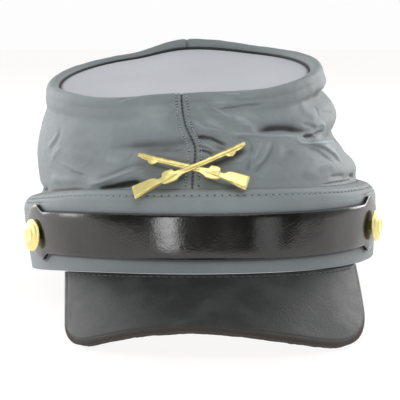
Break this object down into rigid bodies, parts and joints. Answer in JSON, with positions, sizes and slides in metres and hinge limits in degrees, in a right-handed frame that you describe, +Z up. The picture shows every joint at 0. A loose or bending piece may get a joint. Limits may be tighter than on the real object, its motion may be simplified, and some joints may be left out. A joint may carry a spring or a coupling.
{
  "type": "kepi cap",
  "caption": "Soft leather kepi with a round sunken top, stiff hat band, moulded peak, chin strap on brass buttons and a crossed-rifles badge.",
  "frame": {"origin": "on the surface that the hat rests on, under the centre of its bounding box", "axes": "+X to the wearer's left, which is the viewer's right from the front, +Y from the peak to the back, +Z up"},
  "size_m": [0.1766, 0.2444, 0.1223],
  "materials": {
    "crown_leather": "matt worn grey leather",
    "top_leather": "matt pale grey leather",
    "peak_leather": "satin dark grey leather",
    "strap_leather": "glossy black leather",
    "brass": "polished brass"
  },
  "bodies": {
    "root": {"crown_panel_left": "crown_leather", "crown_panel_right": "crown_leather", "band": "crown_leather", "crown_top": "top_leather", "peak": "peak_leather", "chin_strap": "strap_leather", "button_left": "brass", "button_right": "brass", "badge": "brass"}
  },
  "joints": []
}
